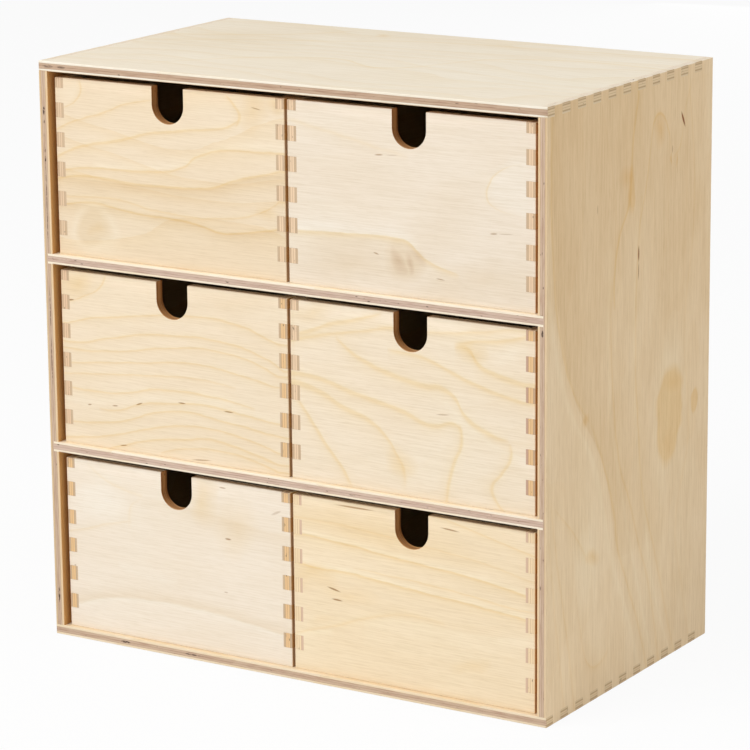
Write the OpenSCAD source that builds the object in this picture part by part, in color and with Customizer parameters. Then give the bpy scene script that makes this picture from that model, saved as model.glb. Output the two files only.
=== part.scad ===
// Desktop mini drawers: a finger-jointed plywood cabinet that holds three rows of two
// drawers. Each drawer is a finger-jointed box with a thumb notch in its front, and it
// slides on the shelf below it.
// Millimetres, +Z up. The origin is the middle of the footprint, on the surface that the
// cabinet stands on. The drawers open towards -Y.

/* [Cabinet] */
// Width of the cabinet, side to side
cabinet_w = 310; // [240:1:420]
// Depth of the cabinet, front to back
cabinet_d = 180; // [120:1:320]
// Height of the cabinet
cabinet_h = 320; // [240:1:460]
// Thickness of the plywood of the top, bottom and sides
cabinet_ply = 5.5; // [4:0.5:9]
// Thickness of the two shelves
shelf_ply = 5.5; // [3:0.5:9]
// How far each end of a shelf is let into a side
shelf_housing = 3.3; // [1.5:0.1:3.8]

/* [Back panel] */
// Thickness of the back panel
back_ply = 3; // [2:0.5:5]
// Distance from the cabinet's rear edge to the back panel
back_inset = 4; // [2:0.5:12]
// How far the back panel's edges sit in their grooves
back_groove = 2.8; // [1:0.1:3.8]

/* [Drawers] */
// Thickness of the plywood of a drawer's front, back and sides
drawer_ply = 5.5; // [4:0.5:8]
// Gap between a drawer and the side of the cabinet
drawer_side_gap = 2.7; // [0.5:0.1:6]
// Gap between the two drawers of a row
drawer_middle_gap = 1.6; // [0.5:0.1:6]
// Gap between a drawer's top edge and the panel above it
drawer_top_gap = 3.3; // [0.5:0.1:8]
// Distance from the cabinet's front edge back to the drawers' fronts
drawer_recess = 3; // [0:0.5:12]
// Gap between a closed drawer and the back panel
drawer_rear_gap = 1; // [0.5:0.5:10]
// Thickness of a drawer's floor
floor_ply = 3; // [2:0.5:5]
// Height of the floor's underside above the drawer's lower edge
floor_rise = 4; // [2:0.5:12]
// How far the floor's edges sit in their grooves
floor_groove = 2.8; // [1:0.1:3.8]

/* [Thumb notch] */
// Width of the notch
notch_w = 20; // [12:1:40]
// Length of the notch's straight sides, from the drawer's top edge down to its round end
notch_straight = 9.5; // [4:0.5:30]

/* [Finger joints] */
// Width of one finger along a cabinet corner
cabinet_finger = 8; // [5:0.5:14]
// Width of the first finger of the top and bottom, at the front edge
cabinet_first_finger = 7; // [4:0.5:14]
// Width of one finger along a drawer corner
drawer_finger = 8; // [5:0.5:12]
// Width of the first finger of a drawer's side, at the top edge
drawer_first_finger = 5.5; // [4:0.5:12]
// Narrowest finger that may end a joint
least_finger = 4; // [3:0.5:8]
// Glue line at each finger's flank and at the end of each sheet let into a groove
glue_line = 0.05; // [0.02:0.01:0.15]

/* [Hidden] */
$fn = 64;
// How far a cut runs past the surface that it opens
past = 1;

ROWS = ["bottom", "middle", "top"];
COLUMNS = ["left", "right"];
DRAWER_PIECES = ["front", "back", "left_side", "right_side", "floor"];

// Space inside the cabinet's top, bottom and sides
inner_w = cabinet_w - 2 * cabinet_ply;
inner_h = cabinet_h - 2 * cabinet_ply;
// Front and rear of the cabinet, and the front face of its back panel
front_y = -cabinet_d / 2;
rear_y = cabinet_d / 2;
back_y = rear_y - back_inset - back_ply;

// Height of one row, and the heights of the surfaces that the rows stand on
row_h = (inner_h - (len(ROWS) - 1) * shelf_ply) / len(ROWS);
function row_z(row) = cabinet_ply + row * (row_h + shelf_ply);

// Outside of one drawer
drawer_w = (inner_w - 2 * drawer_side_gap - drawer_middle_gap) / len(COLUMNS);
drawer_h = row_h - drawer_top_gap;
drawer_front_y = front_y + drawer_recess;
drawer_back_y = back_y - drawer_rear_gap;
drawer_d = drawer_back_y - drawer_front_y;
// Inside of one drawer's four walls
drawer_inner_w = drawer_w - 2 * drawer_ply;
drawer_inner_d = drawer_d - 2 * drawer_ply;
// Middle of a drawer in each column
function column_x(column) = (column - 0.5) * (drawer_w + drawer_middle_gap);

// Birch tones of the plywood faces
BIRCH_CREAM = [0.95, 0.88, 0.74];
BIRCH_YELLOW = [0.94, 0.85, 0.68];
BIRCH_PINK = [0.95, 0.87, 0.77];
BIRCH_TAN = [0.85, 0.75, 0.58];
FRONT_TONES = [[BIRCH_PINK, BIRCH_YELLOW], [BIRCH_YELLOW, BIRCH_CREAM], [BIRCH_CREAM, BIRCH_PINK]];

// Start and end of each finger along a corner. The joint starts with a finger of width
// `first`, gaps and fingers of width `finger` follow, and the other panel ends the joint
// with what is left.
function finger_spans(length, first, finger) = concat(
    [[0, first]],
    [for (k = [1 : floor((length - first - least_finger) / (2 * finger))])
        [first + (2 * k - 1) * finger, first + 2 * k * finger]]
);
cabinet_spans = finger_spans(cabinet_d, cabinet_first_finger, cabinet_finger);
drawer_spans = finger_spans(drawer_h, drawer_first_finger, drawer_finger);

// Flat outline with fingers at both ends: x runs across between the ends, and y runs
// along the corners from the joint's first finger.
module finger_outline(inner, length, ply, spans) {
    translate([-inner / 2, 0])
        square([inner, length]);
    for (span = spans)
        translate([-inner / 2 - ply, span[0]])
            square([inner + 2 * ply, span[1] - span[0]]);
}

// Flat outline of the panel that meets it: full width, with a slot for each finger.
module slot_outline(outer, length, ply, spans) {
    difference() {
        translate([-outer / 2, 0])
            square([outer, length]);
        for (end = [-1, 1], span = spans) {
            start = span[0] > 0 ? span[0] - glue_line : -past;
            translate([end * (outer + past - ply) / 2, (start + span[1] + glue_line) / 2])
                square([ply + past, span[1] + glue_line - start], center = true);
        }
    }
}

// Back panel, grown at its edges by `grow` to make its groove
module back_sheet(grow = 0) {
    reach = 2 * (back_groove + grow);
    translate([-(inner_w + reach) / 2, back_y, cabinet_ply - reach / 2])
        cube([inner_w + reach, back_ply, inner_h + reach]);
}

// Shelf under row `row`, grown at its ends by `grow` and at its front by `ahead` to make
// its housings
module shelf_board(row, grow = 0, ahead = 0) {
    length = inner_w + 2 * (shelf_housing + grow);
    translate([-length / 2, front_y - ahead, row_z(row) - shelf_ply])
        cube([length, back_y - front_y + ahead, shelf_ply]);
}

module flat_panel() {
    linear_extrude(cabinet_ply)
        finger_outline(inner_w, cabinet_d, cabinet_ply, cabinet_spans);
}

module upright_panel() {
    rotate([0, -90, 0])
        linear_extrude(cabinet_ply)
            slot_outline(cabinet_h, cabinet_d, cabinet_ply, cabinet_spans);
}

module top_panel() {
    color(BIRCH_CREAM)
    difference() {
        translate([0, front_y, cabinet_h - cabinet_ply])
            flat_panel();
        back_sheet(glue_line);
    }
}

module bottom_panel() {
    color(BIRCH_CREAM)
    difference() {
        translate([0, front_y, 0])
            flat_panel();
        back_sheet(glue_line);
    }
}

// Side of the cabinet whose outer face is at outer_x = x + cabinet_ply / 2 or
// x - cabinet_ply / 2, for a panel centred on x
module cabinet_side(x) {
    color(BIRCH_TAN)
    difference() {
        translate([x + cabinet_ply / 2, front_y, cabinet_h / 2])
            upright_panel();
        back_sheet(glue_line);
        for (row = [1 : len(ROWS) - 1])
            shelf_board(row, glue_line, past);
    }
}

module left_side() {
    cabinet_side(-(cabinet_w - cabinet_ply) / 2);
}

module right_side() {
    cabinet_side((cabinet_w - cabinet_ply) / 2);
}

module upper_shelf() {
    color(BIRCH_CREAM)
        shelf_board(2);
}

module lower_shelf() {
    color(BIRCH_CREAM)
        shelf_board(1);
}

module back_panel() {
    color(BIRCH_TAN)
        back_sheet();
}

// Places a piece of a drawer: x = 0 is the drawer's middle, z = 0 its lower edge
module in_drawer(row, column) {
    translate([column_x(column), 0, row_z(row)])
        children();
}

// Drawer floor, grown at its edges by `grow` to make its groove
module floor_sheet(grow = 0) {
    reach = 2 * (floor_groove + grow);
    translate([-(drawer_inner_w + reach) / 2,
               drawer_front_y + drawer_ply - reach / 2,
               floor_rise])
        cube([drawer_inner_w + reach, drawer_inner_d + reach, floor_ply]);
}

// Upright panel that spans the drawer's width, with its front face at y
module cross_panel(y) {
    translate([0, y, drawer_h])
        rotate([-90, 0, 0])
            linear_extrude(drawer_ply)
                slot_outline(drawer_w, drawer_h, drawer_ply, drawer_spans);
}

// U-shaped cut, open at the drawer's top edge
module thumb_notch() {
    radius = notch_w / 2;
    round_z = drawer_h - notch_straight;
    translate([0, drawer_front_y - past, round_z])
        rotate([-90, 0, 0])
            cylinder(r = radius, h = drawer_ply + 2 * past);
    translate([-radius, drawer_front_y - past, round_z])
        cube([notch_w, drawer_ply + 2 * past, notch_straight + past]);
}

module drawer_front(row, column) {
    color(FRONT_TONES[row][column])
    in_drawer(row, column)
        difference() {
            cross_panel(drawer_front_y);
            thumb_notch();
            floor_sheet(glue_line);
        }
}

module drawer_back(row, column) {
    color(BIRCH_CREAM)
    in_drawer(row, column)
        difference() {
            cross_panel(drawer_back_y - drawer_ply);
            floor_sheet(glue_line);
        }
}

// Side of a drawer, centred on x
module drawer_side(row, column, x) {
    color(BIRCH_CREAM)
    in_drawer(row, column)
        difference() {
            translate([x + drawer_ply / 2, (drawer_front_y + drawer_back_y) / 2, drawer_h])
                rotate([0, 0, 90])
                    rotate([-90, 0, 0])
                        linear_extrude(drawer_ply)
                            finger_outline(drawer_inner_d, drawer_h, drawer_ply, drawer_spans);
            floor_sheet(glue_line);
        }
}

module drawer_floor(row, column) {
    color(BIRCH_TAN)
    in_drawer(row, column)
        floor_sheet();
}

top_panel();
bottom_panel();
left_side();
right_side();
upper_shelf();
lower_shelf();
back_panel();

side_x = (drawer_w - drawer_ply) / 2;
for (row = [0 : len(ROWS) - 1], column = [0 : len(COLUMNS) - 1]) {
    drawer = str(ROWS[row], "_", COLUMNS[column], "_drawer_");
    drawer_front(row, column);
    drawer_back(row, column);
    drawer_side(row, column, -side_x);
    drawer_side(row, column, side_x);
    drawer_floor(row, column);
}
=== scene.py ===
"""Desktop mini drawers: a birch plywood chest with three rows of two drawers."""

import math

import bpy
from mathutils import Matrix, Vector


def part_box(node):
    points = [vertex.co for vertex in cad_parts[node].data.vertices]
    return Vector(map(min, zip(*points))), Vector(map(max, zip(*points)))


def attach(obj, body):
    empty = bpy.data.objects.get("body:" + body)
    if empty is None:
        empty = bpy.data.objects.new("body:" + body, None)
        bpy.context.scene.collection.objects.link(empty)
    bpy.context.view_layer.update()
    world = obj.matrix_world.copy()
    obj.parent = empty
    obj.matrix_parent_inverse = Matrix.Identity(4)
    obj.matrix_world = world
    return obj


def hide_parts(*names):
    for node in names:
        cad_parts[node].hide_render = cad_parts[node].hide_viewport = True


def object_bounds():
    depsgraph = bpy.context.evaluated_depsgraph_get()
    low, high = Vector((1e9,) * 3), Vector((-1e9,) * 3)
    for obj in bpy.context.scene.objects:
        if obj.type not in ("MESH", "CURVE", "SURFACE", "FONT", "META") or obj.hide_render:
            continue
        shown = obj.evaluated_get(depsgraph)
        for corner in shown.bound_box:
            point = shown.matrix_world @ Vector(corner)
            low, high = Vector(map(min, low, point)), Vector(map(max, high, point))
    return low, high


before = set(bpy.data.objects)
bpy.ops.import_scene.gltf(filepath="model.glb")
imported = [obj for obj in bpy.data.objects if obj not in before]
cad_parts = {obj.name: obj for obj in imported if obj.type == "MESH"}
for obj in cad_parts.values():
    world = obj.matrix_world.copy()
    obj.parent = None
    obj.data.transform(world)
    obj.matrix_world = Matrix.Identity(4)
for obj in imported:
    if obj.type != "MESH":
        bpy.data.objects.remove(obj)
cad_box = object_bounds()

MM = 0.001
X, Y, Z = 0, 1, 2

ROWS = ("bottom", "middle", "top")
COLUMNS = ("left", "right")

# Sheets, as the CAD model has them
THICK_PLY = 5.5
THIN_PLY = 3.0
NOTCH_WIDTH = 20
NOTCH_DEPTH = 19.5

# Sandpaper has taken this much off the outer edges, and off the rim where the thumb goes
EASED_EDGE = 0.4 * MM
EASED_RIM = 0.6 * MM
EASING_STEPS = 2
SAME_PLACE = 0.03 * MM
MERGED = 0.002 * MM
FLAT_ENOUGH = math.radians(0.5)
ROUND_ENOUGH = math.radians(20)

# The grain of each kind of sheet: along it, across it, and through the thickness
LEVEL_SHEET = (X, Y, Z)
CABINET_SIDE = (Z, Y, X)
FRONT_OR_BACK = (X, Z, Y)
DRAWER_SIDE = (Y, Z, X)
BACK_SHEET = (Z, X, Y)


def tone(red, green, blue):
    """A colour given in screen values, as the linear light that Blender mixes."""
    return tuple(linear(value / 255) for value in (red, green, blue))


def linear(value):
    if value <= 0.04045:
        return value / 12.92
    return ((value + 0.055) / 1.055) ** 2.4


# Birch. A shade multiplies the colour under it.
BIRCH = tone(241, 222, 193)
CORE_SIDE_GRAIN = tone(234, 206, 172)
CORE_END_GRAIN = tone(206, 180, 155)
END_GRAIN = tone(198, 170, 139)
VOID = tone(52, 28, 12)
MARK = tone(150, 102, 34)
DARK_MARK = tone(132, 72, 4)
RING_SHADE = (0.95, 0.87, 0.70)
TAN_SHADE = (0.93, 0.89, 0.82)
PALE_SHADE = (1.03, 1.06, 1.10)
AMBER_SHADE = (0.95, 0.86, 0.70)
PATCH_SHADE = (0.96, 0.88, 0.72)
FIBRE_SHADE = (0.89, 0.86, 0.80)
CUT_VENEER_SHADE = (1.03, 1.07, 1.13)
OUTER_CUT_SHADE = (0.80, 0.74, 0.67)
# Painted shade, warm and dark, for faces in gaps and hollows: the cabinet's inner walls, the drawers'
# outer walls, the notch's cut walls and the drawers' walls near the front
PAINTED_INNER_SHADE = (0.86, 0.61, 0.34)
PAINTED_GAP_WARMTH = (0.96, 0.80, 0.60)
PAINTED_NOTCH_SHADE = (0.80, 0.53, 0.29)
PAINTED_GAP_SHADE = (0.84, 0.72, 0.52)
# Painted shadow line along the rim of a finger end
RIM_SHADOW_SHADE = (0.68, 0.56, 0.44)
MARK_SHADE = (0.80, 0.70, 0.62)
GLUE_SHADE = (0.62, 0.52, 0.42)
STREAK_SHADE = (0.78, 0.68, 0.66)
# Painted highlight on the eased edges
PAINTED_ARRIS_HIGHLIGHT = (1.05, 1.07, 1.10)

# Round each growth line there is a weaker one, this many times as wide and this strong, and above it
# the wood is pale. A line fades over this length, unless it runs off the sheet.
HALO_REACH = 4.0
HALO_SHARE = 0.33
EDGE_REACH = 0.3
EDGE_SHARE = 0.8
FADE = 12
NEAR_EDGE = 0.6
FRONT_SPAN = 100
CABINET_SPAN = 200

# Noise: the length of its clouds along, across and through a sheet in millimetres, its detail and its
# roughness. A seed moves it by this much a step.
CLOUDS = ((90, 45, 40), 1.0, 0.5)
MOTTLES = ((34, 13, 13), 2.0, 0.6)
WANDER = ((16, 6, 8), 4.0, 0.6)
SWIRLS = ((150, 60, 50), 1.0, 0.5)
FIBRES = ((26, 0.7, 0.7), 3.0, 0.5)
PORES = ((7, 0.5, 0.5), 2.0, 0.5)
CORE_STREAKS = ((9, 9, 0.35), 2.0, 0.5)
CORE_GAPS = ((3.5, 3.5, 1.2), 1.0, 0.5)
CRUMBS = ((1.6, 1.6, 0.8), 2.0, 0.5)
SEED_STEP = (7.3, 3.1, 5.7)

# Where each noise starts to show, and from where it shows in full
PALE_CLOUDS = (0.55, 0.8)
SHOWN_MOTTLES = (0.44, 0.64)
SHOWN_FIBRES = (0.367, 0.7)
SHOWN_PORES = (0.5, 0.75)
SHOWN_STREAKS = (0.45, 0.7)
SHOWN_GAPS = (0.7, 0.811)
SHOWN_CRUMBS = (0.32, 0.52)

# How much of a shade is laid on
FIBRE_SHARE = 0.6
PORE_SHARE = 0.5
FAINT_STREAKS = 0.25
CLOUD_ON_ENDS = 0.8
LEAST_ON_ENDS = 0.5
INNER_END_SHARE = 0.8

# How sharp the outline of each thing is
MARK_SHARPNESS = 2
VOID_SHARPNESS = 3
RIM_SHADOW_SHARPNESS = 3
ARRIS_HIGHLIGHT_SHARPNESS = 4
PLY_SHARPNESS = 12

# Growth lines wander by this much, in millimetres, and the outlines of spots sway by half of SWAY
LINE_WANDER = 2.4
SWAY = 18
SWAY_SCALE = 0.035
SWAY_DETAIL = 2.0
RIGHT_THROUGH = 1000
RING_STEP = 22
RING_SWIRL = 5
RING_STRENGTH = 0.45

# The core reaches this share of a sheet's thickness to each side of its middle, unless a figure says
# how far. Then glue lines, in millimetres from their middle, and what is measured from a sheet's
# middle or end.
CORE_REACH = 0.25
GLUE_LINE = 0.14
MIDDLE_GLUE = 0.22
MIDDLE_GLUE_SHARE = 0.8
RIM_SHADOW_DEPTH = 2.1
GAP_SHADE_FADE = 4

# The bare wood's surface
SHEEN = 0.35
SMOOTHEST = 0.48
FIBRE_ROUGHNESS = 0.2
FIBRE_HEIGHT = 0.6
PORE_HEIGHT = 0.4
BUMP_STRENGTH = 0.35
BUMP_HEIGHT = 0.08 * MM


class Value:
    """A socket in a finish. Its operators add Math nodes."""

    def __init__(self, finish, socket):
        self.finish = finish
        self.socket = socket

    def maths(self, operation, *values):
        return self.finish.add("ShaderNodeMath", {"operation": operation}, dict(enumerate(values)))

    def __add__(self, other):
        return self.maths("ADD", self, other)

    def __sub__(self, other):
        return self.maths("SUBTRACT", self, other)

    def __rsub__(self, other):
        return self.maths("SUBTRACT", other, self)

    def __mul__(self, other):
        return self.maths("MULTIPLY", self, other)

    def __truediv__(self, other):
        return self.maths("DIVIDE", self, other)

    __radd__ = __add__
    __rmul__ = __mul__

    def size(self):
        return self.maths("ABSOLUTE", self)

    def at_least(self, other):
        return self.maths("MAXIMUM", self, other)

    def share(self):
        """The value held between 0 and 1."""
        return self.finish.add("ShaderNodeClamp", {}, {"Value": self})

    def rise(self, low, high):
        """0 up to low, 1 from high, and a straight slope in between."""
        return ((self - low) * (1 / (high - low))).share()


class Finish:
    """A node tree, and the one method that adds its nodes."""

    def __init__(self, tree):
        self.tree = tree

    def add(self, kind, settings=None, sockets=None, output=0):
        node = self.tree.nodes.new(kind)
        for name, setting in (settings or {}).items():
            if name == "curves":
                draw_curves(node.mapping, setting)
            else:
                setattr(node, name, setting)
        for name, value in (sockets or {}).items():
            self.feed(node.inputs[name], value)
        return Value(self, node.outputs[output])

    def feed(self, socket, value):
        if isinstance(value, Value):
            self.tree.links.new(value.socket, socket)
        else:
            socket.default_value = value

    def vector(self, operation, *values, output=0):
        return self.add("ShaderNodeVectorMath", {"operation": operation}, dict(enumerate(values)), output)

    def blend(self, share, first, second):
        settings = {"data_type": "RGBA"}
        return self.add("ShaderNodeMix", settings, {0: share, 6: first, 7: second}, output=2)

    def shade(self, share, colour, by):
        settings = {"data_type": "RGBA", "blend_type": "MULTIPLY"}
        return self.add("ShaderNodeMix", settings, {0: share, 6: colour, 7: (*by, 1)}, output=2)


def draw_curves(mapping, curves):
    mapping.extend = "HORIZONTAL"
    for curve, points in zip(mapping.curves, curves):
        for number, (x, y) in enumerate(points):
            if number < 2:
                curve.points[number].location = (x, y)
            else:
                curve.points.new(x, y)
    mapping.update()


class Plywood(Finish):
    """The finish of one sheet, in millimetres from the sheet's middle: along, across and through it."""

    def __init__(self, name, node, grain):
        material = bpy.data.materials.new(name)
        material.use_nodes = True
        super().__init__(material.node_tree)
        self.material = material
        self.shader = material.node_tree.nodes["Principled BSDF"]
        low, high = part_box(node)
        middle = (low + high) / 2
        place = self.add("ShaderNodeTexCoord", output="Object")
        sockets = {"Vector": place, "Location": tuple(-middle / MM), "Scale": (1 / MM,) * 3}
        spot = self.add("ShaderNodeMapping", {}, sockets)
        self.along, self.across, self.through = self.turned(spot, grain)
        self.spot = self.joined(self.along, self.across, self.through)
        sockets = {"Vector": spot, "Scale": SWAY_SCALE, "Detail": SWAY_DETAIL}
        sway = self.add("ShaderNodeTexNoise", {}, sockets, output=1)
        self.swayed = self.vector("MULTIPLY_ADD", sway, (SWAY, SWAY, 0), self.spot)
        facing = self.add("ShaderNodeTexCoord", output="Normal")
        self.faces_along, self.faces_across, self.faces_out = [
            part.size() for part in self.turned(facing, grain)
        ]

    def turned(self, vector, grain):
        parts = self.tree.nodes.new("ShaderNodeSeparateXYZ")
        self.feed(parts.inputs[0], vector)
        return [Value(self, parts.outputs[axis]) for axis in grain]

    def joined(self, *values):
        return self.add("ShaderNodeCombineXYZ", {}, dict(enumerate(values)))

    def noise(self, kind, seed):
        """Cloudy noise, 0 to 1."""
        lengths, detail, roughness = kind
        stretch = tuple(1 / length for length in lengths)
        shift = tuple(step * seed for step in SEED_STEP)
        spot = self.vector("MULTIPLY_ADD", self.spot, stretch, shift)
        sockets = {"Vector": spot, "Scale": 1.0, "Detail": detail, "Roughness": roughness}
        return self.add("ShaderNodeTexNoise", {}, sockets)

    def blob(self, place, size, tilt=0.0, spot=None):
        """1 in the middle of an oval and 0 past its edge. Place and size may have a third number, for how
        deep in the sheet it is. Without one it goes right through."""
        place = (*place, 0)[:3]
        size = (*size, RIGHT_THROUGH)[:3]
        sockets = {
            "Vector": spot or self.spot,
            "Location": place,
            "Rotation": (0, 0, math.radians(tilt)),
            "Scale": size,
        }
        inside = self.add("ShaderNodeMapping", {"vector_type": "TEXTURE"}, sockets)
        return (1 - self.vector("LENGTH", inside, output=1)).at_least(0.0)

    def lines(self, lines, course, offset, span):
        """Listed lines, three to a node, and the soft edge above them. A line is (strength, width
        below, width above, points), and a point is (place on the course, offset from it), in mm."""
        drawn, edge = 0.0, 0.0
        for start in range(0, len(lines), 3):
            group = lines[start : start + 3]
            while len(group) < 3:
                group = [*group, (0.0, 1.0, 1.0, [(-span, 0), (span, 0)])]
            steps = self.vector("MULTIPLY", self.joined(course, course, course), (1 / span,) * 3)
            rows = [[(x / span, y / span) for x, y in line[3]] for line in group]
            fades = [faded(line, span) for line in group]
            middle = self.add("ShaderNodeVectorCurve", {"curves": rows}, {"Vector": steps})
            strength = self.add("ShaderNodeVectorCurve", {"curves": fades}, {"Vector": steps})
            offsets = self.joined(offset, offset, offset)
            gap = self.vector("MULTIPLY_ADD", middle, (-span,) * 3, offsets)
            below = self.vector("MULTIPLY", gap, tuple(-1 / line[1] for line in group))
            above = self.vector("MULTIPLY", gap, tuple(1 / line[2] for line in group))
            away = self.vector("MAXIMUM", below, above)
            drawn = self.nearness(away, strength) + drawn
            soft = self.vector("MULTIPLY", away, (1 / HALO_REACH,) * 3)
            drawn = self.nearness(soft, strength) * HALO_SHARE + drawn
            wide = self.vector("MAXIMUM", below, self.vector("MULTIPLY", above, (EDGE_REACH,) * 3))
            edge = self.nearness(wide, strength) + edge
        return drawn, edge

    def nearness(self, away, strength):
        near = self.vector("SUBTRACT", (1, 1, 1), away)
        near = self.vector("MAXIMUM", near, (0, 0, 0))
        near = self.vector("MULTIPLY", near, near)
        return self.vector("DOT_PRODUCT", near, strength, output=1)


def faded(line, span):
    """A line's strength along its course: it fades at an end that stops short of the sheet's edge."""
    strength, points = line[0], line[3]
    first, last = points[0][0], points[-1][0]
    edge = span * NEAR_EDGE
    rises = [(first, 0), (first + FADE, strength)] if first > -edge else [(-span, strength)]
    falls = [(last - FADE, strength), (last, 0)] if last < edge else [(span, strength)]
    return [(x / span, y) for x, y in rises + falls]


def birch_plywood(name, node, grain, seed, shaded_face=None, figure=None, colour=BIRCH, thickness=THICK_PLY):
    """A birch sheet: its face veneers, its core plies and the glue between them. The argument warm gives
    the side of the sheet whose face gets painted shade, where it looks into a gap or hollow, 1 or -1,
    and that shade. The figure's other keys are explained where the figures start."""
    figure = figure or {}
    ply = Plywood(name, node, grain)
    clouds = ply.noise(CLOUDS, seed)
    fibres = ply.noise(FIBRES, seed + 1)
    pores = ply.noise(PORES, seed + 2)
    face = figured_veneer(ply, figure, colour, seed, clouds)
    streaky = figure.get("streaky", 1.0)
    face = ply.shade(fibres.rise(*SHOWN_FIBRES) * (FIBRE_SHARE * streaky), face, FIBRE_SHADE)
    face = ply.shade(pores.rise(*SHOWN_PORES) * (PORE_SHARE * streaky), face, FIBRE_SHADE)
    for place, size, tilt, strength in figure.get("marks", ()):
        mark = (ply.blob(place, size, tilt) * MARK_SHARPNESS).share()
        face = ply.blend(mark * strength, face, (*figure.get("mark", MARK), 1))
    face = painted_face_and_cut_edges(ply, figure, shaded_face, clouds, face)

    face_ply = figure.get("face_ply", thickness * CORE_REACH)
    depth = ply.through.size()
    in_core = ((face_ply - depth) * PLY_SHARPNESS + 0.5).share()
    wood = ply.blend(in_core, face, core_plies(ply, figure, seed))
    line = ply.faces_along * figure.get("end_line", 0.0) + GLUE_LINE
    glue = (1 - (depth - face_ply).size() / line).at_least(0.0)
    if thickness > THIN_PLY:
        glue = glue.at_least((1 - depth / MIDDLE_GLUE).at_least(0.0) * MIDDLE_GLUE_SHARE)
    wood = ply.shade(glue, wood, GLUE_SHADE)
    gaps = core_gaps(ply, figure, seed, in_core)
    wood = ply.blend(gaps, wood, (*VOID, 1))
    wood = painted_shade_and_highlight(ply, figure, wood)

    ply.feed(ply.shader.inputs["Base Color"], wood)
    ply.feed(ply.shader.inputs["Roughness"], fibres * FIBRE_ROUGHNESS + SMOOTHEST)
    ply.shader.inputs["Specular IOR Level"].default_value = SHEEN
    height = fibres * FIBRE_HEIGHT + pores * PORE_HEIGHT - gaps
    sockets = {"Height": height, "Strength": BUMP_STRENGTH, "Distance": BUMP_HEIGHT}
    bump = ply.add("ShaderNodeBump", {}, sockets)
    ply.feed(ply.shader.inputs["Normal"], bump)
    return ply.material


def figured_veneer(ply, figure, colour, seed, clouds):
    """A face veneer with its bands, spots and growth lines."""
    face = ply.shade(clouds, (*colour, 1), TAN_SHADE)
    face = ply.shade(clouds.rise(*PALE_CLOUDS), face, PALE_SHADE)
    if "mottled" in figure:
        patches = ply.noise(MOTTLES, seed + 8)
        face = ply.shade(patches.rise(*SHOWN_MOTTLES) * figure["mottled"], face, TAN_SHADE)
    wander = ply.noise(WANDER, seed + 3) - 0.5
    drift = ply.across + wander * LINE_WANDER
    span = figure.get("span", FRONT_SPAN)
    for bands, shade in (("tan", TAN_SHADE), ("pale", PALE_SHADE)):
        if bands in figure:
            share, _ = ply.lines(figure[bands], ply.along, drift, span)
            face = ply.shade(share.share(), face, shade)
    for place, size, tilt, shade, strength in figure.get("spots", ()):
        swayed_place = [middle + SWAY / 2 for middle in place]
        spot = ply.blob(swayed_place, size, tilt, ply.swayed)
        face = ply.shade((spot * strength).share(), face, shade)
    for rings, course, offset in (("rings", ply.along, drift), ("arches", drift, ply.along)):
        if rings in figure:
            drawn, edge = ply.lines(figure[rings], course, offset, span)
            face = ply.shade((edge * EDGE_SHARE).share(), face, PALE_SHADE)
            face = ply.shade(drawn.share(), face, RING_SHADE)
    return ply.shade(grown_rings(ply, drift, seed, figure.get("growth", 1.0)), face, RING_SHADE)


def grown_rings(ply, drift, seed, strength):
    """The faint arched figure of a veneer peeled from a log."""
    swirl = ply.noise(SWIRLS, seed + 6)
    count = drift / RING_STEP + swirl * RING_SWIRL
    ring = count.maths("FRACT", count)
    return ring * ring * ring * (RING_STRENGTH * strength)


def painted_face_and_cut_edges(ply, figure, shaded_face, clouds, face):
    """Painted shade on the face that looks into a gap or hollow, the colours of the veneer's own cut
    edges, and a painted shadow line along the rim of its ends.
    """
    face = ply.shade(ply.faces_across, face, CUT_VENEER_SHADE)
    side, shade = shaded_face or (1, PAINTED_INNER_SHADE)
    if shaded_face:
        # Painted shade on the face that looks into a gap or hollow
        shaded_half = (ply.through * side).share()
        face = ply.shade(shaded_half * ply.faces_out, face, shade)
    if "outer_cut" in figure:
        outer = (ply.through * -side).share() * ply.faces_across
        face = ply.shade(outer * figure["outer_cut"], face, OUTER_CUT_SHADE)
    ends = ply.faces_along * (clouds * CLOUD_ON_ENDS + LEAST_ON_ENDS).share()
    face = ply.blend(ends, face, (*figure.get("ends", END_GRAIN), 1))
    if "inner_end" in figure:
        inner = (ply.through * -side).share() * ply.faces_along
        face = ply.blend(inner * INNER_END_SHARE, face, (*figure["inner_end"], 1))
    if "rim_shadow_side" in figure:
        # Painted shadow line along the rim of the ends
        rim = ((ply.through * figure["rim_shadow_side"] - RIM_SHADOW_DEPTH) * RIM_SHADOW_SHARPNESS).share()
        face = ply.shade(rim * ply.faces_along, face, RIM_SHADOW_SHADE)
    return face


def core_plies(ply, figure, seed):
    """The plies between the face veneers, as they show in a cut edge."""
    side_grain = figure.get("core", CORE_SIDE_GRAIN)
    end_grain = figure.get("core_end", CORE_END_GRAIN)
    core = ply.blend(ply.faces_across, (*side_grain, 1), (*end_grain, 1))
    streaks = ply.noise(CORE_STREAKS, seed + 4)
    on_end_grain = ply.faces_across * (1 - FAINT_STREAKS) + FAINT_STREAKS
    share = streaks.rise(*SHOWN_STREAKS) * on_end_grain
    return ply.shade(share, core, STREAK_SHADE)


def core_gaps(ply, figure, seed, in_core):
    """Gaps in the core: small ones from noise, and the voids of the figure with crumbly edges."""
    gaps = ply.noise(CORE_GAPS, seed + 5).rise(*SHOWN_GAPS) * in_core
    if "voids" in figure:
        crumbs = ply.noise(CRUMBS, seed + 7).rise(*SHOWN_CRUMBS)
        for place, size, strength in figure["voids"]:
            hole = (ply.blob(place, size) * VOID_SHARPNESS).share()
            gaps = gaps.at_least(hole * crumbs * strength)
    return gaps


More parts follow.
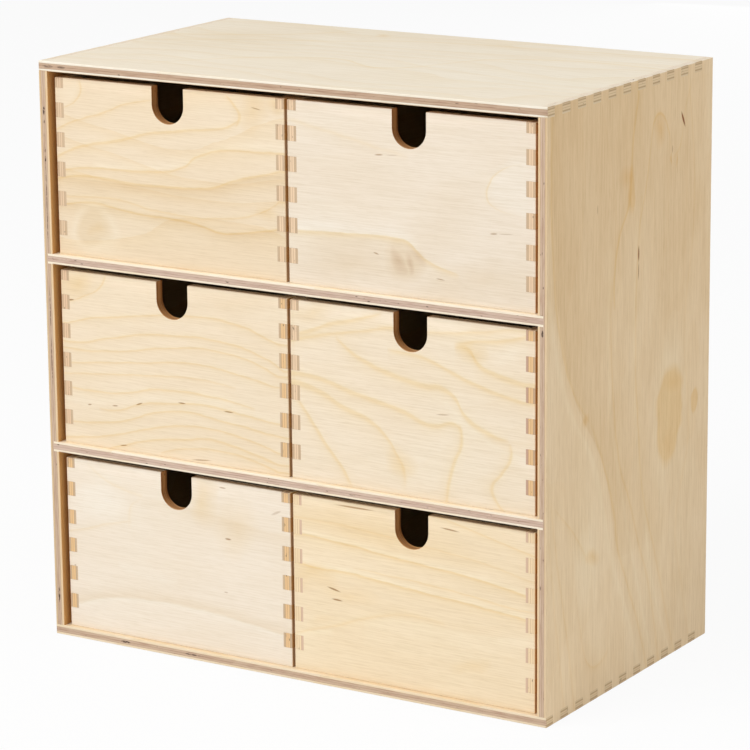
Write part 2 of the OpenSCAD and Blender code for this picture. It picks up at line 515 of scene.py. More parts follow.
def painted_shade_and_highlight(ply, figure, wood):
    """Painted shade by the gaps beside a drawer and in the notch's walls, and a painted highlight on
    eased edges.
    """
    if "gap_shade_start" in figure:
        # Painted shade on the outer face near the front, where the gap beside the drawer shades it
        near_front = (-figure["gap_shade_start"] - ply.along) / GAP_SHADE_FADE
        wood = ply.shade(near_front.share() * ply.faces_out, wood, PAINTED_GAP_SHADE)
    if "notch_shade_reach" in figure:
        # Painted shade on the cut walls round the middle of the front, where the notch is
        notch_shade_share = (figure["notch_shade_reach"] - ply.along.size()).share() * (1 - ply.faces_out)
        wood = ply.shade(notch_shade_share.share(), wood, PAINTED_NOTCH_SHADE)
    slant = 1 - ply.faces_along.at_least(ply.faces_across).at_least(ply.faces_out)
    # Painted highlight on the eased edges, where the surface slants
    return ply.shade((slant * ARRIS_HIGHLIGHT_SHARPNESS).share(), wood, PAINTED_ARRIS_HIGHLIGHT)


# The sheets' figures, read in millimetres from a sheet's middle: along its grain, then across it. A
# figure has any of these keys.
#   rings      brown growth lines, as lines() takes them
#   arches     the same, but their points give the place across the grain first
#   pale, tan  softer bands, drawn as lines too
#   span       how far the lines can reach from the middle
#   spots      soft ovals: place, size, tilt, shade and strength
#   marks      mineral marks: place, size, tilt and strength
#   mark       the colour of the marks
#   growth, streaky, mottled   how much of the noise shows
#   voids      gaps in the core: place, size and strength
#   face_ply   how far the core reaches on each side of the sheet's middle
#   core       the core's colour in the sheet's ends, core_end in its long edges
#   ends       the face veneer's colour in an end, inner_end on the sheet's inner side
#   outer_cut  how dark the outer veneer's long edge is
#   end_line   how much wider the glue lines are in an end
#   rim_shadow_side    the side whose rim gets a painted shadow line in an end
#   browned    how far in front of the middle the painted shade of the gap beside a drawer starts on the face
#   scorched   how far from the middle the notch's cut walls get painted shade

# The six fronts

TOP_LEFT = {
    "rings": [
        (0.8, 1.7, 0.8, [(-73, 20), (-53, 28), (-40, 32), (-28, 37), (-8, 41)]),
        (1.2, 1.8, 1.0, [(-73, 5), (-60, 11), (-29, 18), (-17, 22), (16, 27), (39, 31), (45, 35)]),
        (1.1, 1.8, 1.0, [(-67, -1), (-50, 1), (-17, 2), (10, 7), (15, 11), (27, 16), (38, 18), (69, 19)]),
        (1.2, 2.2, 1.0, [(-73, -7), (-60, -4), (-17, -5), (29, -2), (40, 2), (51, 5), (70, 10)]),
        (0.7, 1.4, 1.1, [(-66, -16), (-51, -15), (-29, -15), (-11, -18), (38, -18), (60, -12), (69, -6)]),
        (1.1, 1.4, 1.1, [(-66, -20), (-53, -18), (-24, -21), (16, -23), (34, -26), (60, -22), (70, -20)]),
    ],
    "arches": [
        (1.2, 1.4, 2.0, [(31, 43), (35, 45), (38, 45), (42, 42), (47, 37)]),
        (0.9, 1.2, 1.4, [(30, -73), (33, -65), (37, -59), (42, -56), (48, -57)]),
    ],
    "tan": [
        (0.8, 12.0, 1.5, [(-73, -6), (-17, -6), (29, -3), (51, 4), (70, 8)]),
        (0.7, 9.0, 1.5, [(-66, -20), (16, -23), (34, -26), (70, -20)]),
    ],
    "pale": [
        (0.7, 1.0, 9.0, [(-50, 2), (10, 8), (38, 19), (69, 20)]),
    ],
    "spots": [
        ((-64, 42), (11, 9), 0, PALE_SHADE, 0.9),
        ((52, 40), (10, 14), 0, RING_SHADE, 0.7),
        ((66, 44), (8, 8), 0, RING_SHADE, 1.0),
        ((-50, -34), (17, 14), 0, PALE_SHADE, 3.0),
        ((-50, -34), (12, 10), 0, TAN_SHADE, 2.4),
        ((-48, -34), (5, 3), 20, RING_SHADE, 0.6),
        ((60, -13), (8, 5), 0, RING_SHADE, 0.7),
        ((24, 39), (18, 6), 0, PALE_SHADE, 0.7),
    ],
    "marks": [
        ((-70, 27), (0.8, 0.4), 0, 0.4),
        ((55.5, 41.5), (3.5, 0.4), -10, 0.56),
    ],
}

TOP_RIGHT = {
    "growth": 0.1,
    "rings": [
        (0.9, 4.0, 0.8, [(-67, -20), (-26, -18), (-8, -18), (-1, -19), (4, -23), (11, -28), (29, -33)]),
        (0.3, 2.6, 2.6, [(-73, 38), (-30, 30), (0, 24)]),
    ],
    "arches": [
        (0.8, 1.2, 1.1, [(0, 66), (2, 54), (5, 47), (9, 45), (16, 47), (21, 51), (27, 66)]),
    ],
    "pale": [
        (1.0, 1.0, 8.0, [(-73, -19), (-26, -17), (-8, -17), (0, -19), (6, -25)]),
    ],
    "spots": [
        ((-3, -29), (12, 12), 0, TAN_SHADE, 1.5),
        ((-6, -29), (3, 7), 15, MARK_SHADE, 0.7),
        ((-1, -29), (2, 6), 5, MARK_SHADE, 0.7),
        ((3, -25), (6, 3), -40, MARK_SHADE, 0.5),
        ((66, 14), (22, 15), 0, PALE_SHADE, 3.0),
        ((20, -8), (34, 18), 35, TAN_SHADE, 0.5),
        ((-35, -34), (50, 14), 0, TAN_SHADE, 1.0),
        ((40, -36), (40, 12), 10, TAN_SHADE, 0.8),
        ((-20, 10), (60, 14), 0, TAN_SHADE, 0.35),
    ],
    "marks": [
        ((-18, 24), (3.0, 0.48), 5, 0.64),
        ((-10, 24.5), (4.0, 0.32), 5, 0.32),
        ((-20, -27), (2.0, 0.48), -15, 0.56),
        ((49, -10), (2.5, 0.56), 5, 0.56),
        ((56, -9.5), (5.0, 0.32), 5, 0.32),
        ((18, -36.5), (3.0, 0.4), -5, 0.56),
    ],
}

MIDDLE_LEFT = {
    "growth": 0.15,
    "rings": [
        (1.0, 1.7, 0.8, [(-69, 19), (-55, 23), (-43, 25), (-17, 29), (24, 32), (38, 31), (67, 23)]),
        (1.1, 1.7, 0.8, [(-73, 9), (-62, 9), (-40, 14), (-2, 20), (40, 19), (60, 14), (70, 9)]),
        (0.9, 1.7, 0.8, [(-73, 5), (-36, 7), (-2, 13), (38, 14), (66, 6)]),
        (0.9, 1.7, 0.8, [(-69, -3), (-17, 3), (11, 6), (63, 0)]),
        (0.6, 1.7, 0.8, [(-69, -9), (-29, -5), (12, -2), (40, -4)]),
        (0.9, 1.6, 0.8, [(-66, -17), (-34, -16), (-11, -11), (16, -10), (52, -14)]),
        (0.9, 1.6, 0.8, [(-50, -26), (-34, -25), (-24, -21), (-6, -18), (21, -16), (60, -20)]),
        (1.2, 1.7, 0.8, [(-73, -36), (-33, -31), (-13, -24), (11, -21), (38, -24), (72, -27)]),
        (1.1, 1.7, 0.8, [(-73, -45), (-40, -40), (-20, -34), (5, -29), (33, -29), (66, -36)]),
        (1.0, 1.7, 0.8, [(-44, -48), (-17, -40), (7, -36), (21, -34), (48, -38), (66, -42)]),
        (0.8, 1.7, 0.8, [(-10, -46), (9, -41), (38, -40), (66, -46)]),
    ],
    "arches": [
        (1.1, 1.4, 1.2, [(30, -73), (32, -65), (35, -57), (39, -49), (48, -43)]),
    ],
    "pale": [
        (0.6, 5.0, 6.0, [(-69, -24), (-34, -20), (11, -13), (60, -18)]),
    ],
    "spots": [
        ((-64, 43), (19, 13), 20, RING_SHADE, 1.0),
        ((30, 42), (40, 8), 0, TAN_SHADE, 0.5),
    ],
    "marks": [
        ((-67, 32), (3.0, 0.56), 8, 0.8),
        ((-56, -25), (1.6, 0.48), 8, 0.64),
        ((-39, -23.5), (2.3, 0.48), 5, 0.64),
        ((-23, -20.5), (2.6, 0.48), 20, 0.8),
        ((5, -16.5), (2.8, 0.48), 0, 0.8),
        ((35, -17.5), (3.6, 0.48), 0, 0.72),
        ((-34, -45), (2.8, 0.4), 10, 0.72),
        ((17, -46.3), (7, 0.4), 5, 0.64),
    ],
}

MIDDLE_RIGHT = {
    "growth": 0.15,
    "streaky": 1.1,
    "rings": [
        (0.9, 3.0, 1.8, [(-73, 29), (-60, 33), (-51, 37), (-32, 42), (-17, 47)]),
        (0.75, 2.4, 1.8, [(-73, 26), (-59, 30), (-29, 36), (-8, 41)]),
        (1.0, 3.6, 2.2, [(-45, 31), (-31, 22), (-13, 16), (9, 12), (18, 12), (27, 7), (31, 0),
                         (45, -8), (58, -11)]),
        (1.0, 3.4, 2.0, [(-73, 9), (-60, 9), (-36, 3), (-2, -4), (9, -8), (16, -8), (24, -6), (31, -9)]),
        (1.0, 4.2, 2.2, [(-68, 4), (-52, 0), (-40, -6), (-24, -11), (-14, -19), (-7, -29)]),
        (0.9, 3.0, 1.8, [(-14, 28), (9, 26), (29, 19), (47, 14), (66, 10)]),
        (1.1, 4.2, 2.0, [(26, 34), (34, 34), (40, 27), (50, 23), (66, 20)]),
        (0.75, 3.0, 1.8, [(26, 36), (36, 38), (56, 41), (70, 45)]),
        (0.5, 3.0, 1.8, [(-20, 40), (10, 40), (60, 47)]),
    ],
    "arches": [
        (1.0, 4.0, 2.0, [(-48, -36), (-38, -42), (-30, -49), (-20, -57), (-8, -66), (-3, -71)]),
        (1.0, 2.8, 2.0, [(-50, 21), (-36, 23), (-26, 26), (-16, 30), (-6, 29)]),
        (1.0, 2.8, 2.0, [(-50, 58), (-41, 49), (-36, 48), (-28, 54), (-19, 59), (-12, 58)]),
        (0.9, 4.0, 2.0, [(-46, -4), (-36, -4), (-30, -6), (-22, -14)]),
    ],
    "pale": [
        (0.6, 8.0, 2.0, [(20, 5), (45, -12), (70, -20)]),
    ],
    "spots": [
        ((36, 34), (10, 7), -20, RING_SHADE, 0.8),
        ((58, 33), (12, 6), 10, PALE_SHADE, 1.0),
        ((-60, 44), (22, 8), 20, RING_SHADE, 0.6),
        ((-6, -30), (9, 8), 0, RING_SHADE, 0.7),
    ],
    "marks": [
        ((19, -2), (4.5, 0.4), 5, 0.48),
    ],
}

BOTTOM_LEFT = {
    "growth": 0.1,
    "streaky": 0.9,
    "rings": [
        (0.35, 1.0, 2.2, [(-59, 46), (-46, 38), (-36, 35), (-22, 33)]),
        (0.35, 2.2, 1.0, [(-73, 6), (-62, 9), (-53, 12), (-42, 15), (-30, 18)]),
    ],
    "arches": [
        (0.35, 1.1, 2.6, [(12, -32), (17, -32), (27, -30), (31, -25), (36, -24)]),
    ],
    "tan": [
        (0.8, 1.5, 9.0, [(-66, -34), (-46, -28), (-17, -25), (11, -25), (44, -28), (66, -31)]),
        (0.4, 16.0, 2.0, [(-24, 32), (10, 30), (60, 24)]),
    ],
    "pale": [
        (1.0, 5.0, 0.8, [(-67, -34), (-46, -28), (-17, -25), (11, -25), (44, -28), (66, -31)]),
        (0.5, 6.0, 8.0, [(-40, -8), (-20, -12), (0, -12)]),
    ],
    "spots": [
        ((-52, 27), (24, 15), 20, PALE_SHADE, 1.6),
        ((18, 36), (10, 18), 0, RING_SHADE, 0.9),
        ((38, 24), (16, 22), 0, RING_SHADE, 0.5),
    ],
    "marks": [
        ((30, 45), (2.5, 0.4), 0, 0.64),
        ((33, 17), (2.4, 0.64), 0, 0.72),
        ((64, 36), (4.0, 0.8), 25, 0.32),
        ((31, -13), (1.5, 0.48), 0, 0.4),
        ((-69, -13), (0.8, 0.48), 0, 0.48),
    ],
}

BOTTOM_RIGHT = {
    "growth": 0.15,
    "streaky": 1.1,
    "rings": [
        (1.0, 2.2, 0.7, [(-73, 27), (-47, 26), (-6, 22), (24, 20), (49, 17), (72, 13)]),
        (1.1, 2.2, 0.7, [(-73, 11), (-60, 10), (-40, 10), (-6, 7), (27, 5), (72, 1)]),
        (0.5, 1.4, 0.8, [(-36, 13), (-6, 12), (23, 10), (60, 6)]),
        (0.35, 1.7, 2.4, [(-73, -29), (-62, -25), (-48, -21), (-30, -14), (-6, -8), (20, -9)]),
        (0.6, 1.7, 0.8, [(5, 50), (27, 46), (40, 43), (72, 36)]),
        (0.5, 1.7, 0.8, [(-73, 36), (-30, 35), (0, 32), (40, 28), (72, 22)]),
    ],
    "pale": [
        (1.0, 0.8, 3.6, [(-73, 28), (-47, 27), (-6, 23), (24, 21), (49, 18), (72, 14)]),
        (1.3, 0.8, 4.0, [(-73, 12), (-47, 11), (-6, 8), (27, 6), (72, 2)]),
        (0.5, 20.0, 2.0, [(-30, -16), (-6, -11), (40, -12), (72, -8)]),
        (1.0, 6.0, 0.8, [(-73, -29), (-62, -26), (-48, -23)]),
    ],
    "spots": [
        ((-20, 34), (70, 14), -3, RING_SHADE, 0.6),
        ((-62, 4), (16, 8), 0, RING_SHADE, 0.6),
        ((-40, -2), (22, 6), 0, RING_SHADE, 0.5),
        ((35, -30), (14, 5), 15, RING_SHADE, 0.5),
        ((-58, -22), (10, 4), 15, RING_SHADE, 0.3),
    ],
    "marks": [
        ((-34.5, 46), (14, 0.62), 0, 0.7),
        ((23, 42.5), (6.5, 0.56), -4, 0.7),
        ((-48, -0.5), (4.8, 0.62), -12, 0.8),
        ((-46, -6), (3.8, 0.6), -3, 0.8),
    ],
}

# The fronts' tones: partly their own, and partly painted light, the lower fronts lighter to make up for
# the key lamp's light falling off towards the bottom
FRONT_FIGURES = {
    "top_left": (TOP_LEFT, tone(242, 225, 200)),
    "top_right": (TOP_RIGHT, tone(243, 231, 215)),
    "middle_left": (MIDDLE_LEFT, tone(246, 230, 206)),
    "middle_right": (MIDDLE_RIGHT, tone(248, 234, 213)),
    "bottom_left": (BOTTOM_LEFT, tone(248, 237, 222)),
    "bottom_right": (BOTTOM_RIGHT, tone(250, 232, 202)),
}

# What all fronts share: painted shade in the notch's cut walls, and finger ends made darker and warmer,
# in part as painted shade of the gap beside the drawer
NOTCH = {"notch_shade_reach": NOTCH_WIDTH / 2 + 1, "end_line": 0.25, "ends": tone(204, 164, 118)}

# The finger ends of the drawers' side walls that aren't like the rest: left wall, then right
PALE_END = {"core": tone(243, 219, 180), "ends": tone(238, 214, 176), "inner_end": tone(212, 178, 156)}
GOLDEN_END = {"core": tone(233, 196, 146)}
WALL_ENDS = {
    "top_left": ({"core": tone(224, 197, 164)}, {}),
    "middle_left": ({"core": tone(230, 199, 165)}, GOLDEN_END),
    "middle_right": ({}, GOLDEN_END | {"inner_end": tone(196, 158, 138)}),
    "bottom_left": (GOLDEN_END, GOLDEN_END),
    "bottom_right": (PALE_END, PALE_END),
}

# What all the drawers' side walls share: painted shade on their outer face near the front, where the gap
# beside the drawer is
GAP_SHADED_WALLS = {"gap_shade_start": 78}

# Cut edges of the cabinet's upright and level sheets, and where their front edge is
SIDE_CORE = tone(236, 220, 196)
SIDE_END = tone(240, 227, 206)
LEVEL_CORE = tone(224, 199, 159)
LEVEL_END = tone(217, 191, 151)
FRONT_EDGE = -90

# The cabinet's sheets
RIGHT_SIDE = {
    "span": CABINET_SPAN,
    "growth": 0.3,
    "streaky": 1.35,
    "mottled": 0.4,
    "mark": DARK_MARK,
    "rings": [
        (0.5, 2.8, 1.6, [(-84, -46), (-69, -57), (-46, -82)]),
        (0.9, 2.6, 1.3, [(44, -19), (64, -19), (82, -14), (96, -4), (116, -1), (133, 1), (151, 6)]),
        (0.5, 1.3, 3.2, [(-160, 20), (-129, 8), (-107, -3), (-84, -14), (-62, -19), (-36, -30),
                         (-10, -44)]),
        (0.5, 1.3, 3.2, [(-10, -44), (9, -62), (33, -74), (64, -82), (150, -86)]),
        (0.4, 1.7, 2.6, [(-160, 52), (-138, 43), (-102, 30), (-62, 14), (-24, 8), (20, 4), (100, 10)]),
        (0.4, 1.7, 2.6, [(-160, 34), (-113, 21), (-84, 8), (-62, -1), (-40, -12), (20, -22), (60, -23)]),
        (0.3, 1.7, 2.6, [(-160, 70), (-130, 62), (-90, 52), (-40, 66), (20, 60), (80, 70), (150, 62)]),
        (0.4, 1.7, 2.2, [(-160, -60), (-120, -68), (-80, -78), (-40, -86)]),
        (0.3, 1.7, 2.2, [(-160, -70), (-110, -80), (-60, -88)]),
    ],
    "arches": [
        (0.9, 2.6, 1.7, [(7, 82), (14, 102), (19, 120), (23, 136), (30, 139), (39, 129), (43, 114)]),
        (0.5, 2.6, 1.7, [(44, 113), (52, 118), (58, 136), (66, 152)]),
        (0.5, 3.2, 1.6, [(-62, -78), (-54, -118), (-46, -138), (-37, -142), (-23, -136)]),
    ],
    "pale": [
        (0.8, 7.5, 3.0, [(-160, 12), (-129, 0), (-84, -22), (-36, -38), (9, -70), (64, -88)]),
        (0.7, 2.4, 2.4, [(-160, 48), (-113, 26), (-62, 14), (-24, 6), (90, 5)]),
        (0.7, 2.4, 2.4, [(-160, 28), (-102, 6), (-62, -8), (0, -24), (80, -23)]),
    ],
    "tan": [
        (0.7, 1.5, 63.0, [(-90, -16), (-36, -30), (9, -62), (64, -80), (120, -86)]),
    ],
    "spots": [
        ((104, -2), (14, 4.0), 0, PALE_SHADE, 1.5),
        ((104, -2), (14, 4.0), 0, AMBER_SHADE, 2.2),
        ((112, -8), (6, 9), 0, AMBER_SHADE, 0.8),
        ((131, 30), (12, 7), 0, AMBER_SHADE, 1.1),
        ((64, 56), (72, 40), 0, TAN_SHADE, 0.9),
        ((-22, 42), (56, 24), 8, PALE_SHADE, 2.2),
        ((-25, 42), (30, 17), 8, PATCH_SHADE, 6.0),
        ((-6, 46), (8, 17), -8, PATCH_SHADE, 0.6),
        ((-42, 40), (9, 9), 0, AMBER_SHADE, 0.4),
        ((-24, 73), (8, 6), 0, PATCH_SHADE, 4.0),
        ((-9, -46), (5, 6), -35, AMBER_SHADE, 1.3),
        ((-83, -40), (5, 8), 0, AMBER_SHADE, 1.0),
        ((112, 43), (4.5, 1.4), -8, AMBER_SHADE, 1.3),
        ((112, 50), (5.0, 1.2), 8, AMBER_SHADE, 1.3),
        ((-90, -46), (26, 16), 0, PALE_SHADE, 1.4),
        # Painted light: the side darker towards its top and paler towards its bottom, as its light falls
        ((150, -20), (120, 130), 0, TAN_SHADE, 1.2),
        ((-120, 0), (110, 160), 0, PALE_SHADE, 0.7),
    ],
    "marks": [
        ((69, 7), (5.0, 0.85), 0, 0.95),
        ((60, 7), (6, 0.5), 3, 0.8),
        ((132, 56), (5.5, 1.05), -28, 1.0),
        ((100, -38), (3.0, 0.5), 0, 0.4),
        ((118, 44), (2.5, 0.5), 0, 0.5),
    ],
    "voids": [
        ((54, FRONT_EDGE), (2.2, 2, 0.7), 0.9),
        ((46, FRONT_EDGE), (2.2, 2, 0.7), 0.9),
    ],
    "outer_cut": 0.5,
    "ends": SIDE_END,
    "core": SIDE_CORE,
}

TOP_PANEL = {
    "span": CABINET_SPAN,
    "growth": 0.8,
    "spots": [
        ((-110, 30), (60, 70), 0, TAN_SHADE, 0.7),
        ((-40, 80), (120, 25), 0, TAN_SHADE, 0.5),
        ((-37, 73), (7, 6), 0, AMBER_SHADE, 0.9),
        ((95, -20), (90, 60), 0, PALE_SHADE, 0.5),
    ],
    "rings": [
        (0.6, 3.0, 2.0, [(-155, 20), (-110, 40), (-85, 55), (-60, 84)]),
        (0.6, 3.0, 2.0, [(-155, -4), (-100, 24), (-50, 44), (-20, 60), (60, 72), (155, 76)]),
        (0.5, 3.0, 2.0, [(-100, -70), (-20, -10), (20, -24), (60, 30), (155, 40)]),
    ],
    "voids": [
        ((-149, FRONT_EDGE), (4.0, 2, 0.8), 0.6),
        ((-140, FRONT_EDGE), (3.0, 2, 0.7), 0.6),
    ],
    "core": LEVEL_CORE,
    "core_end": tone(197, 169, 143),
    "ends": LEVEL_END,
    "end_line": 0.5,
    "rim_shadow_side": 1,
    "face_ply": 1.5,
}

LEFT_SIDE = {
    "outer_cut": 1.0,
    "ends": SIDE_END,
    "core": SIDE_CORE,
    "voids": [
        ((133, FRONT_EDGE), (2.8, 2, 0.8), 1.0),
        ((127, FRONT_EDGE), (1.6, 2, 0.4), 0.8),
        ((112, FRONT_EDGE), (1.8, 2, 0.5), 0.9),
        ((107, FRONT_EDGE), (1.8, 2, 0.6), 1.0),
        ((88, FRONT_EDGE), (22.0, 2, 0.4), 0.6),
        ((72, FRONT_EDGE), (14.0, 2, 0.4), 0.6),
        ((24, FRONT_EDGE), (14.0, 2, 0.4), 0.6),
        ((-4, FRONT_EDGE), (16.0, 2, 0.4), 0.6),
        ((-137, FRONT_EDGE), (5.0, 2, 0.7), 0.9),
    ],
}

BOTTOM_PANEL = {
    "core": LEVEL_CORE,
    "ends": LEVEL_END,
    "end_line": 0.5,
    "rim_shadow_side": -1,
    "face_ply": 1.4,
    "voids": [
        ((-108, FRONT_EDGE), (3.6, 2, 0.7), 0.9),
        ((-63, FRONT_EDGE), (7.0, 2, 0.5), 0.8),
    ],
}

LOWER_SHELF = {
    "face_ply": 1.5,
    "core_end": tone(213, 188, 169),
}

UPPER_SHELF = {
    "face_ply": 1.5,
    "core_end": tone(209, 184, 165),
    "voids": [
        ((-106.5, FRONT_EDGE), (2.6, 2, 0.8), 0.9),
        ((-12, FRONT_EDGE), (6.0, 2, 0.4), 0.8),
    ],
}


def deselect_all():
    for thing in bpy.context.selected_objects:
        thing.select_set(False)


def on_plane(vertex, plane):
    axis, place = plane
    return abs(vertex.co[axis] - place) < SAME_PLACE


def pick_edges(piece, wanted):
    """Selects the edges that wanted(first vertex, second vertex) names. Returns how many there are."""
    mesh = piece.data
    for part in (mesh.polygons, mesh.vertices, mesh.edges):
        part.foreach_set("select", [False] * len(part))
    found = 0
    for edge in mesh.edges:
        ends = [mesh.vertices[number] for number in edge.vertices]
        if wanted(*ends):
            edge.select = True
            found += 1
            for end in ends:
                end.select = True
    return found


def ease(piece, width, wanted):
    """Rounds the edges that wanted names."""
    if not pick_edges(piece, wanted):
        return
    bpy.ops.object.mode_set(mode="EDIT")
    bpy.ops.mesh.select_mode(type="EDGE")
    bpy.ops.mesh.bevel(offset=width, segments=EASING_STEPS, affect="EDGES", clamp_overlap=True)
    bpy.ops.mesh.select_all(action="SELECT")
    bpy.ops.mesh.remove_doubles(threshold=MERGED)
    bpy.ops.object.mode_set(mode="OBJECT")


def cut_across(piece, axis, place):
    """Adds an edge all round the piece, so that what is eased can end there."""
    point = [0.0, 0.0, 0.0]
    normal = [0.0, 0.0, 0.0]
    point[axis] = place
    normal[axis] = 1.0
    bpy.ops.object.mode_set(mode="EDIT")
    bpy.ops.mesh.select_all(action="SELECT")
    bpy.ops.mesh.bisect(plane_co=point, plane_no=normal)
    bpy.ops.object.mode_set(mode="OBJECT")


def sanded_copy(node, body, name):
    """A merged copy of a CAD sheet, with whole faces, ready for its edges to be eased."""
    deselect_all()
    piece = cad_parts[node].copy()
    piece.data = piece.data.copy()
    for key in list(piece.keys()):
        del piece[key]
    piece.name = name
    piece.data.name = name
    piece.parent = None
    bpy.context.collection.objects.link(piece)
    piece.select_set(True)
    bpy.context.view_layer.objects.active = piece
    bpy.ops.object.mode_set(mode="EDIT")
    bpy.ops.mesh.select_all(action="SELECT")
    bpy.ops.mesh.remove_doubles(threshold=MERGED)
    bpy.ops.mesh.dissolve_limited(angle_limit=FLAT_ENOUGH)
    bpy.ops.object.mode_set(mode="OBJECT")
    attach(piece, body)
    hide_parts(node)
    return piece


def finish_piece(piece, material):
    piece.data.materials.clear()
    piece.data.materials.append(material)
    bpy.ops.object.shade_smooth_by_angle(angle=ROUND_ENOUGH)


def box_planes(low, high):
    return [(axis, corner[axis]) for axis in (X, Y, Z) for corner in (low, high)]


def planes_held(first, second, planes):
    """How many of the planes hold the whole edge."""
    return sum(on_plane(first, plane) and on_plane(second, plane) for plane in planes)


def cabinet_sheet(node, grain, seed, shaded_face=None, figure=None, colour=BIRCH):
    """A sheet of the cabinet, its outer edges and the edges round the mouth eased."""
    low, high = cabinet_box()
    outside = box_planes(low, high)
    sheet_low, sheet_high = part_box(node)
    piece = sanded_copy(node, "cabinet", f"{node}_sheet")
    mouth_low = low[X] + THICK_PLY * MM
    mouth_high = high[X] - THICK_PLY * MM
    if grain == LEVEL_SHEET:
        cut_across(piece, X, mouth_low)
        cut_across(piece, X, mouth_high)
    deep = grain[2]
    faces = [(deep, sheet_low[deep]), (deep, sheet_high[deep])]
    ends = [(Y, low[Y]), (Y, high[Y])]

    def eased(first, second):
        if planes_held(first, second, outside) == 2:
            return True
        if not planes_held(first, second, ends) or not planes_held(first, second, faces):
            return False
        if grain != LEVEL_SHEET:
            return True
        middle = (first.co[X] + second.co[X]) / 2
        return mouth_low < middle < mouth_high

    ease(piece, EASED_EDGE, eased)
    finish_piece(piece, birch_plywood(f"{node}_birch", node, grain, seed, shaded_face, figure, colour))


def cabinet_box():
    low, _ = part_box("left_side")
    _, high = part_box("right_side")
    low[Z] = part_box("bottom_panel")[0][Z]
    high[Z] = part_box("top_panel")[1][Z]
    return low, high


def drawer_box(drawer):
    low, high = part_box(f"{drawer}_front")
    high[Y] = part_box(f"{drawer}_back")[1][Y]
    return low, high


def drawer_wall(drawer, wall, grain, seed, shaded_face=None, figure=None, colour=BIRCH):
    """One wall of a drawer, the outer edges of the box and the top rim eased."""
    node = f"{drawer}_{wall}"
    low, high = drawer_box(drawer)
    outside = box_planes(low, high)
    sheet_low, sheet_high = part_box(node)
    slot = "birch_front" if wall == "front" else "birch_drawer_wall"
    piece = sanded_copy(node, drawer, f"{node}_sheet")
    deep = grain[2]
    faces = [(deep, sheet_low[deep]), (deep, sheet_high[deep])]
    rim = (Z, high[Z])
    inner_low = [low[X] + THICK_PLY * MM, low[Y] + THICK_PLY * MM]
    inner_high = [high[X] - THICK_PLY * MM, high[Y] - THICK_PLY * MM]

    def in_notch(vertex):
        centre = (low[X] + high[X]) / 2
        aside = abs(vertex.co[X] - centre) < NOTCH_WIDTH / 2 * MM + SAME_PLACE
        return aside and vertex.co[Z] > high[Z] - NOTCH_DEPTH * MM - SAME_PLACE

    def eased(first, second):
        if wall == "front" and in_notch(first) and in_notch(second):
            return False
        if planes_held(first, second, outside) == 2:
            return True
        if not on_plane(first, rim) or not on_plane(second, rim):
            return False
        if not planes_held(first, second, faces):
            return False
        run = grain[0]
        middle = (first.co[run] + second.co[run]) / 2
        return inner_low[run] < middle < inner_high[run]

    def notch_rim(first, second):
        if not in_notch(first) or not in_notch(second):
            return False
        return bool(planes_held(first, second, faces))

    ease(piece, EASED_EDGE, eased)
    if wall == "front":
        ease(piece, EASED_RIM, notch_rim)
    finish_piece(piece, birch_plywood(f"{node}_birch", node, grain, seed, shaded_face, figure, colour))


def thin_sheet(node, grain, seed):
    """A thin sheet that sits in grooves, so its edges stay as the saw left them."""
    material = birch_plywood(f"{node}_birch", node, grain, seed, thickness=THIN_PLY)
    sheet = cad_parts[node]
    sheet.data.materials.clear()
    sheet.data.materials.append(material)


TOP_BIRCH = tone(244, 234, 216)
SIDE_BIRCH = tone(241, 217, 181)
SHELF_BIRCH = tone(250, 236, 214)
FIRST_DRAWER_SEED = 20
SHEETS_PER_DRAWER = 5


def cabinet():
    # The cabinet's inner walls and the top's underside get painted shade, as they face the cabinet's
    # inside
    cabinet_sheet("top_panel", LEVEL_SHEET, 11, (-1, PAINTED_INNER_SHADE), TOP_PANEL, TOP_BIRCH)
    cabinet_sheet("bottom_panel", LEVEL_SHEET, 12, None, BOTTOM_PANEL)
    cabinet_sheet("left_side", CABINET_SIDE, 13, (1, PAINTED_INNER_SHADE), LEFT_SIDE, SIDE_BIRCH)
    cabinet_sheet("right_side", CABINET_SIDE, 14, (-1, PAINTED_INNER_SHADE), RIGHT_SIDE, SIDE_BIRCH)
    cabinet_sheet("upper_shelf", LEVEL_SHEET, 15, None, UPPER_SHELF, SHELF_BIRCH)
    cabinet_sheet("lower_shelf", LEVEL_SHEET, 16, None, LOWER_SHELF, SHELF_BIRCH)
    thin_sheet("back_panel", BACK_SHEET, 17)


def drawers():
    seed = FIRST_DRAWER_SEED
    for row in ROWS:
        for column in COLUMNS:
            drawer = f"{row}_{column}_drawer"
            figure, colour = FRONT_FIGURES[f"{row}_{column}"]
            left, right = [ends | GAP_SHADED_WALLS for ends in WALL_ENDS.get(f"{row}_{column}", ({}, {}))]
            drawer_wall(drawer, "front", FRONT_OR_BACK, seed, None, figure | NOTCH, colour)
            drawer_wall(drawer, "back", FRONT_OR_BACK, seed + 1)
            # The outer faces of both walls get a warm painted shade, for the gaps beside the drawer
            drawer_wall(drawer, "left_side", DRAWER_SIDE, seed + 2, (-1, PAINTED_GAP_WARMTH), left)
            drawer_wall(drawer, "right_side", DRAWER_SIDE, seed + 3, (1, PAINTED_GAP_WARMTH), right)
            thin_sheet(f"{drawer}_floor", LEVEL_SHEET, seed + 4)
            seed += SHEETS_PER_DRAWER


# The studio

FLOOR_SIZE = 12.0
FLOOR_WHITE = (0.78, 0.78, 0.78, 1)
WHITE = (1, 1, 1, 1)
BACKGROUND_SHARE = 0.93
ROOM_LIGHT = 0.34
LAMP_TARGET = (0, 0, 0.16)

# Each lamp's azimuth, elevation, distance, size and power
LAMPS = {
    "key_lamp": (-24, 44, 2.4, 1.5, 45),
    "side_lamp": (98, 20, 2.4, 1.2, 16.5),
    "back_lamp": (190, 6, 2.4, 1.2, 6),
}


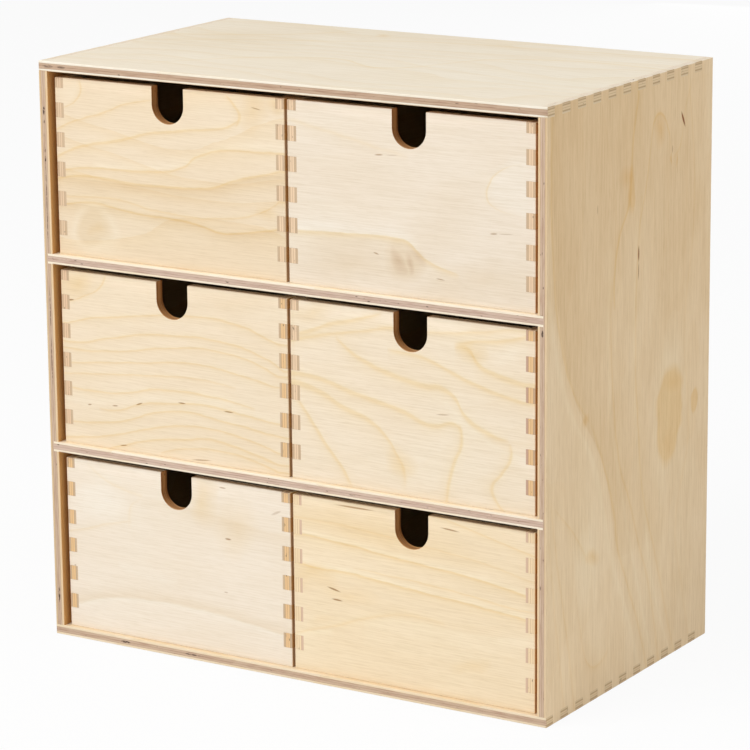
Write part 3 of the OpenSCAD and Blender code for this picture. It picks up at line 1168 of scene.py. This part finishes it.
def seen_directly(finish):
    """1 for a ray that shows the background: from the camera, a gloss or a glass."""
    seen = 0.0
    for ray in ("Is Camera Ray", "Is Glossy Ray", "Is Transmission Ray"):
        seen = finish.add("ShaderNodeLightPath", output=ray) + seen
    return seen.share()


def studio_floor():
    bpy.ops.mesh.primitive_plane_add(size=FLOOR_SIZE, location=(0, 0, cad_box[0][Z]))
    floor = bpy.context.active_object
    floor.name = "studio_floor"
    material = bpy.data.materials.new("floor_paper")
    material.use_nodes = True
    finish = Finish(material.node_tree)
    paper = material.node_tree.nodes["Principled BSDF"]
    paper.inputs["Base Color"].default_value = FLOOR_WHITE
    paper.inputs["Roughness"].default_value = 1.0
    paper.inputs["Specular IOR Level"].default_value = 0.0
    glow = finish.add("ShaderNodeEmission", {}, {"Color": WHITE, "Strength": 1.0})
    share = seen_directly(finish) * BACKGROUND_SHARE
    sockets = {0: share, 1: Value(finish, paper.outputs[0]), 2: glow}
    mixed = finish.add("ShaderNodeMixShader", {}, sockets)
    finish.feed(material.node_tree.nodes["Material Output"].inputs["Surface"], mixed)
    floor.data.materials.append(material)


def room_light():
    world = bpy.data.worlds.new("studio")
    world.use_nodes = True
    bpy.context.scene.world = world
    finish = Finish(world.node_tree)
    background = world.node_tree.nodes["Background"]
    background.inputs["Color"].default_value = WHITE
    strength = seen_directly(finish) * (1 - ROOM_LIGHT) + ROOM_LIGHT
    finish.feed(background.inputs["Strength"], strength)


def look_at(thing, target, azimuth, elevation, distance):
    """Puts a lamp or the camera round the target. Azimuth runs to the right from straight in front."""
    turn = math.radians(azimuth)
    rise = math.radians(elevation)
    flat = distance * math.cos(rise)
    thing.location = (
        target[X] + flat * math.sin(turn),
        target[Y] - flat * math.cos(turn),
        target[Z] + distance * math.sin(rise),
    )
    thing.rotation_euler = (math.pi / 2 - rise, 0, turn)
    bpy.context.collection.objects.link(thing)


def soft_lamp(name, azimuth, elevation, distance, size, power):
    data = bpy.data.lights.new(name, "AREA")
    data.size = size
    data.energy = power
    look_at(bpy.data.objects.new(name, data), LAMP_TARGET, azimuth, elevation, distance)


# The photograph's view
VIEW_AZIMUTH = 31.90
VIEW_ELEVATION = 13.95
VIEW_ROLL = -0.54
VIEW_DISTANCE = 1.927
VIEW_TARGET = (-0.0017, 0, 0.1468)
VIEW_FOCAL_PIXELS = 3550
PHOTO_PIXELS = 750
SENSOR = 36


def camera():
    data = bpy.data.cameras.new("photo_view")
    data.sensor_width = SENSOR
    data.lens = SENSOR * VIEW_FOCAL_PIXELS / PHOTO_PIXELS
    view = bpy.data.objects.new("photo_view", data)
    look_at(view, VIEW_TARGET, VIEW_AZIMUTH, VIEW_ELEVATION, VIEW_DISTANCE)
    view.rotation_euler.rotate_axis("Z", math.radians(VIEW_ROLL))
    bpy.context.scene.camera = view


cabinet()
drawers()
studio_floor()
room_light()
for lamp_name, settings in LAMPS.items():
    soft_lamp(lamp_name, *settings)
camera()

bpy.context.scene.view_settings.view_transform = "Standard"
